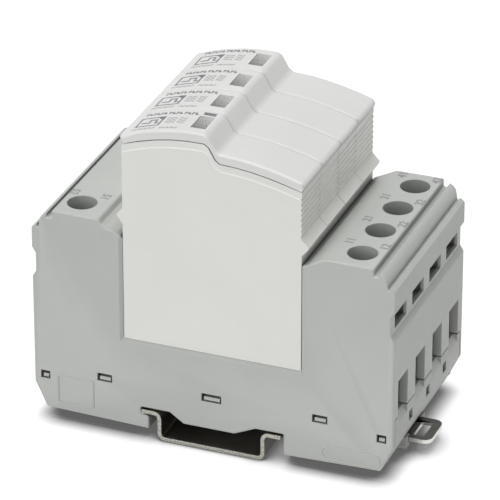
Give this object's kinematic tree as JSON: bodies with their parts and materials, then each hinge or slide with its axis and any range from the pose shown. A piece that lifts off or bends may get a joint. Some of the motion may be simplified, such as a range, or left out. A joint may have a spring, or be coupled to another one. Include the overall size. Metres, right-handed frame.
{
  "type": "din rail surge arrester",
  "caption": "Modular surge arrester on a stub of top-hat rail: a grey base with screw terminal towers at both ends and a row of white pull-out protection plugs between them.",
  "frame": {"origin": "centre of the underside of the rail stub", "axes": "+X across the rail towards the four line terminals, +Y along the rail, +Z away from the rail towards the plug caps"},
  "size_m": [0.0938, 0.05, 0.0818],
  "materials": {
    "base_plastic": "fine-textured light grey moulded plastic",
    "tray_plastic": "fine-textured light grey moulded plastic",
    "plug_plastic": "fine-textured off-white moulded plastic",
    "cap_plastic": "satin off-white moulded plastic",
    "clear_window": "clear moulded plastic",
    "flag_green": "coloured status flag",
    "varistor_coating": "dipped coating",
    "copper": "bright copper alloy strip",
    "plated_steel": "zinc-plated",
    "spring_steel": "drawn wire",
    "rail_steel": "zinc-plated, cut ends bright"
  },
  "bodies": {
    "base": {"mounting_rail_piece": "rail_steel", "base_housing": "base_plastic", "base_tray": "tray_plastic", "foot_latch_spring": "spring_steel", "line_contact_1": "copper", "line_contact_2": "copper", "line_contact_3": "copper", "line_contact_4": "copper", "earth_bar": "copper"},
    "foot_latch": {"foot_latch": "plated_steel"},
    "screw_1": {"terminal_screw_1": "plated_steel"},
    "screw_2": {"terminal_screw_2": "plated_steel"},
    "screw_3": {"terminal_screw_3": "plated_steel"},
    "screw_4": {"terminal_screw_4": "plated_steel"},
    "screw_5": {"terminal_screw_5": "plated_steel"},
    "clamp_1": {"terminal_clamp_1": "plated_steel"},
    "clamp_2": {"terminal_clamp_2": "plated_steel"},
    "clamp_3": {"terminal_clamp_3": "plated_steel"},
    "clamp_4": {"terminal_clamp_4": "plated_steel"},
    "clamp_5": {"terminal_clamp_5": "plated_steel"},
    "plug_1": {"plug_1_housing": "plug_plastic", "plug_1_cap": "cap_plastic", "plug_1_window": "clear_window", "plug_1_flag": "flag_green", "plug_1_varistor": "varistor_coating", "plug_1_disconnect_arm": "copper", "plug_1_disconnect_spring": "spring_steel", "plug_1_line_blade": "copper", "plug_1_earth_blade": "copper"},
    "plug_2": {"plug_2_housing": "plug_plastic", "plug_2_cap": "cap_plastic", "plug_2_window": "clear_window", "plug_2_flag": "flag_green", "plug_2_varistor": "varistor_coating", "plug_2_disconnect_arm": "copper", "plug_2_disconnect_spring": "spring_steel", "plug_2_line_blade": "copper", "plug_2_earth_blade": "copper"},
    "plug_3": {"plug_3_housing": "plug_plastic", "plug_3_cap": "cap_plastic", "plug_3_window": "clear_window", "plug_3_flag": "flag_green", "plug_3_varistor": "varistor_coating", "plug_3_disconnect_arm": "copper", "plug_3_disconnect_spring": "spring_steel", "plug_3_line_blade": "copper", "plug_3_earth_blade": "copper"},
    "plug_4": {"plug_4_housing": "plug_plastic", "plug_4_cap": "cap_plastic", "plug_4_window": "clear_window", "plug_4_flag": "flag_green", "plug_4_varistor": "varistor_coating", "plug_4_disconnect_arm": "copper", "plug_4_disconnect_spring": "spring_steel", "plug_4_line_blade": "copper", "plug_4_earth_blade": "copper"}
  },
  "joints": [
    {"name": "plug_1_pull", "type": "slide", "parent": "base", "child": "plug_1", "axis": [0, 0, 1], "range_m": [0, 0.045]},
    {"name": "plug_2_pull", "type": "slide", "parent": "base", "child": "plug_2", "axis": [0, 0, 1], "range_m": [0, 0.045]},
    {"name": "plug_3_pull", "type": "slide", "parent": "base", "child": "plug_3", "axis": [0, 0, 1], "range_m": [0, 0.045]},
    {"name": "plug_4_pull", "type": "slide", "parent": "base", "child": "plug_4", "axis": [0, 0, 1], "range_m": [0, 0.045]},
    {"name": "foot_latch_slide", "type": "slide", "parent": "base", "child": "foot_latch", "axis": [1, 0, 0], "range_m": [0, 0.003], "stiffness_N_per_m": 1500, "springref_m": -0.003, "deforming": ["foot_latch_spring"]},
    {"name": "screw_1_turn", "type": "hinge", "parent": "base", "child": "screw_1", "pos_m": [0.0347, -0.018, 0.0282], "axis": [0, 0, -1], "range_deg": [0, 2700]},
    {"name": "screw_2_turn", "type": "hinge", "parent": "base", "child": "screw_2", "pos_m": [0.0347, -0.006, 0.0282], "axis": [0, 0, -1], "range_deg": [0, 2700]},
    {"name": "screw_3_turn", "type": "hinge", "parent": "base", "child": "screw_3", "pos_m": [0.0347, 0.006, 0.0282], "axis": [0, 0, -1], "range_deg": [0, 2700]},
    {"name": "screw_4_turn", "type": "hinge", "parent": "base", "child": "screw_4", "pos_m": [0.0347, 0.018, 0.0282], "axis": [0, 0, -1], "range_deg": [0, 2700]},
    {"name": "screw_5_turn", "type": "hinge", "parent": "base", "child": "screw_5", "pos_m": [-0.0347, -0.018, 0.0282], "axis": [0, 0, -1], "range_deg": [0, 2700]},
    {"name": "clamp_1_lift", "type": "slide", "parent": "base", "child": "clamp_1", "axis": [0, 0, 1], "range_m": [0, 0.006]},
    {"name": "clamp_2_lift", "type": "slide", "parent": "base", "child": "clamp_2", "axis": [0, 0, 1], "range_m": [0, 0.006]},
    {"name": "clamp_3_lift", "type": "slide", "parent": "base", "child": "clamp_3", "axis": [0, 0, 1], "range_m": [0, 0.006]},
    {"name": "clamp_4_lift", "type": "slide", "parent": "base", "child": "clamp_4", "axis": [0, 0, 1], "range_m": [0, 0.006]},
    {"name": "clamp_5_lift", "type": "slide", "parent": "base", "child": "clamp_5", "axis": [0, 0, 1], "range_m": [0, 0.006]}
  ],
  "couplings": [
    {"joint": "screw_1_turn", "follows": "clamp_1_lift", "rad_per_m": 7853.9},
    {"joint": "screw_2_turn", "follows": "clamp_2_lift", "rad_per_m": 7853.9},
    {"joint": "screw_3_turn", "follows": "clamp_3_lift", "rad_per_m": 7853.9},
    {"joint": "screw_4_turn", "follows": "clamp_4_lift", "rad_per_m": 7853.9},
    {"joint": "screw_5_turn", "follows": "clamp_5_lift", "rad_per_m": 7853.9}
  ]
}
